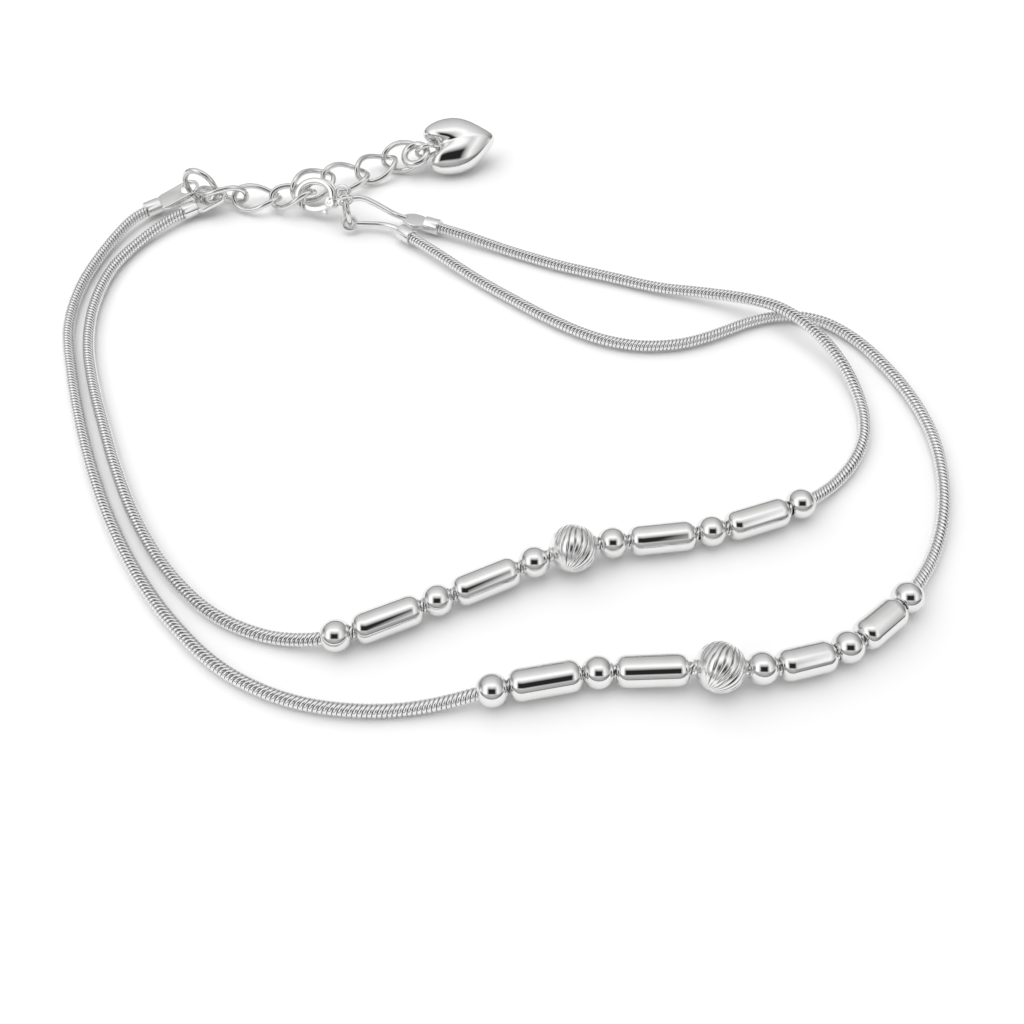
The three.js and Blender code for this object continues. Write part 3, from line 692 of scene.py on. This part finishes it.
def buildHeart():
    bm = bmesh.new()
    bmesh.ops.create_uvsphere(bm, u_segments=112, v_segments=56, radius=1)
    middle = Vector((heart["length"] * 0.3, 0, 0))
    for v in bm.verts:
        rise = max(-1.0, min(1.0, v.co.z))
        share = math.sqrt(max(0.0, 1 - abs(rise) ** 2.2))
        outline = heartOutline(math.atan2(v.co.y, v.co.x))
        ridge = heart["seam"] * math.exp(-(rise / heart["seamWidth"]) ** 2)
        point = middle + (outline - middle) * (share * (1 - heart["seam"] / 4) + ridge / 4)
        dip = heart["valley"] * math.exp(-(point.y / heart["valleyWidth"]) ** 2)
        dip *= 1 - smoothstep(point.x, 0.5, 5.5)
        v.co = (point + Vector((0, 0, rise * (1 - dip) * heart["thickness"] / 2))) * mm
    place = Matrix.Translation((Vector(heart["pose"][:3]) + lieShift) * mm) @ turn(*heart["pose"][3:])
    whole = bmesh.new()
    join(whole, bm, place)
    bail = wireRing(heart["bail"], heart["bailWire"], 48, 14)
    bmesh.ops.rotate(bail, cent=(0, 0, 0), matrix=Matrix.Rotation(math.pi / 2, 3, "X"), verts=bail.verts)
    bmesh.ops.translate(bail, vec=((heart["bailWire"] / 4 - heart["bail"] / 2) * mm, 0, 0), verts=bail.verts)
    join(whole, bail, place)
    finishPiece(whole, "drop_heart_look", "mirrorSilver", ["drop_heart"])


buildHeart()
print("heart made")

# A plain white table
floorLook = {"size": 3.0, "colour": "#FAFAFA"}


def buildFloor():
    bm = bmesh.new()
    bmesh.ops.create_grid(bm, x_segments=1, y_segments=1, size=floorLook["size"] / 2)
    bmesh.ops.translate(bm, vec=(0, 0, -0.00002), verts=bm.verts)
    mesh = bpy.data.meshes.new("table")
    bm.to_mesh(mesh)
    bm.free()
    material = bpy.data.materials.new("whitePaper")
    material.use_nodes = True
    tree = material.node_tree
    tree.nodes.clear()
    place = addNode(tree, "ShaderNodeTexCoord").outputs["Object"]
    fibre = addNode(tree, "ShaderNodeTexNoise", {"Scale": 900.0, "Detail": 3.0},
                    {"Vector": place}).outputs["Fac"]
    bump = addNode(tree, "ShaderNodeBump", {"Strength": 0.03, "Distance": 0.02 * mm}, {"Height": fibre})
    shader = addNode(tree, "ShaderNodeBsdfDiffuse", {"Color": hexColour(floorLook["colour"])},
                     {"Normal": bump.outputs["Normal"]})
    addNode(tree, "ShaderNodeOutputMaterial", {}, {"Surface": shader.outputs["BSDF"]})
    mesh.materials.append(material)
    table = bpy.data.objects.new("table", mesh)
    bpy.context.collection.objects.link(table)


buildFloor()

# Light tent: white all round, a grey front skirt, and the dark opening that the view is taken through.
# The ramp runs round the tent from below the opening, over the top and down the back, in degrees.
tent = {"strength": 1.6, "opening": 0.014, "across": 20, "above": 12, "below": 13,
        "softAcross": 0.3, "softAbove": 0.45, "softBelow": 0.26}
tentRamp = [(-180, 0.9), (-60, 0.3), (-52, 0.1), (-46, 0.26), (-28, 0.34), (-22, 0.8), (-8, 0.95), (24, 0.9),
            (44, 0.78), (62, 0.55), (92, 0.4), (114, 0.34), (121, 0.1), (128, 0.4), (180, 0.9)]
# Grey panels at the sides of the tent, by the share across the view: left, middle, right
sideRamp = [(-1.0, 0.75), (-0.92, 0.4), (-0.8, 0.85), (-0.55, 1.0), (0.3, 1.0), (0.62, 0.78), (0.85, 0.5),
            (0.95, 0.34), (1.0, 0.6)]


def greyRamp(tree, factor, stops):
    ramp = addNode(tree, "ShaderNodeValToRGB", {}, {"Fac": factor})
    elements = ramp.color_ramp.elements
    elements.remove(elements[1])
    for i, (position, value) in enumerate(stops):
        element = elements[0] if i == 0 else elements.new(position)
        element.position = position
        element.color = (value, value, value, 1)
    return ramp.outputs["Color"]


def buildTent():
    world = bpy.data.worlds.new("lightTent")
    bpy.context.scene.world = world
    world.use_nodes = True
    tree = world.node_tree
    tree.nodes.clear()
    direction = addNode(tree, "ShaderNodeTexCoord").outputs["Generated"]
    turned = addNode(tree, "ShaderNodeVectorRotate",
                     {"rotation_type": "X_AXIS", "Angle": -math.radians(90 - viewFrom["down"])},
                     {"Vector": direction})
    parts = addNode(tree, "ShaderNodeSeparateXYZ", {}, {"Vector": turned.outputs["Vector"]})
    angle = addNode(tree, "ShaderNodeMath", {"operation": "ARCTAN2"},
                    {0: parts.outputs["Y"], 1: parts.outputs["Z"]}).outputs["Value"]
    share = addNode(tree, "ShaderNodeMapRange", {"From Min": -math.pi, "From Max": math.pi},
                    {"Value": angle}).outputs["Result"]
    upright = greyRamp(tree, share, [((degrees + 180) / 360, value) for degrees, value in tentRamp])
    acrossShare = addNode(tree, "ShaderNodeMapRange", {"From Min": -1.0}, {"Value": parts.outputs["X"]})
    across = greyRamp(tree, acrossShare.outputs["Result"], [((x + 1) / 2, value) for x, value in sideRamp])
    panels = addNode(tree, "ShaderNodeMix", {"data_type": "RGBA", "blend_type": "MULTIPLY", 0: 1.0},
                     {6: upright, 7: across}).outputs[2]
    sideways = addNode(tree, "ShaderNodeMath", {"operation": "ABSOLUTE"}, {0: parts.outputs["X"]})
    down = addNode(tree, "ShaderNodeMath", {"operation": "MULTIPLY", 1: -1.0}, {0: parts.outputs["Y"]})
    dark = addNode(tree, "ShaderNodeMath", {"operation": "GREATER_THAN", 1: 0.0},
                   {0: parts.outputs["Z"]}).outputs["Value"]
    edges = ((sideways.outputs["Value"], "Across"), (parts.outputs["Y"], "Above"),
             (down.outputs["Value"], "Below"))
    for value, side in edges:
        edge = math.sin(math.radians(tent[side.lower()]))
        softEdge = edge + tent[f"soft{side}"]
        inside = addNode(tree, "ShaderNodeMapRange", {"From Min": softEdge, "From Max": edge},
                         {"Value": value})
        dark = addNode(tree, "ShaderNodeMath", {"operation": "MULTIPLY"},
                       {0: dark, 1: inside.outputs["Result"]}).outputs["Value"]
    colour = addNode(tree, "ShaderNodeMix", {"data_type": "RGBA", 7: (*[tent["opening"]] * 3, 1.0)},
                     {0: dark, 6: panels})
    back = addNode(tree, "ShaderNodeBackground", {"Strength": tent["strength"]}, {"Color": colour.outputs[2]})
    addNode(tree, "ShaderNodeOutputWorld", {}, {"Surface": back.outputs["Background"]})


buildTent()

# One big soft lamp high at the back left throws the shadows towards the front right
keyLamp = {"at": (-0.2, 0.13, 0.5), "size": 1.0, "power": 2.4}
lampData = bpy.data.lights.new("keyLamp", "AREA")
lampData.shape = "DISK"
lampData.size = keyLamp["size"]
lampData.energy = keyLamp["power"]
lampObject = bpy.data.objects.new("keyLamp", lampData)
lampObject.location = keyLamp["at"]
lampObject.visible_glossy = False
lampObject.rotation_euler = Vector(keyLamp["at"]).to_track_quat("Z", "Y").to_euler()
bpy.context.collection.objects.link(lampObject)
bpy.context.scene.view_settings.view_transform = "Standard"
bpy.context.view_layer.update()
print("stage and light set")
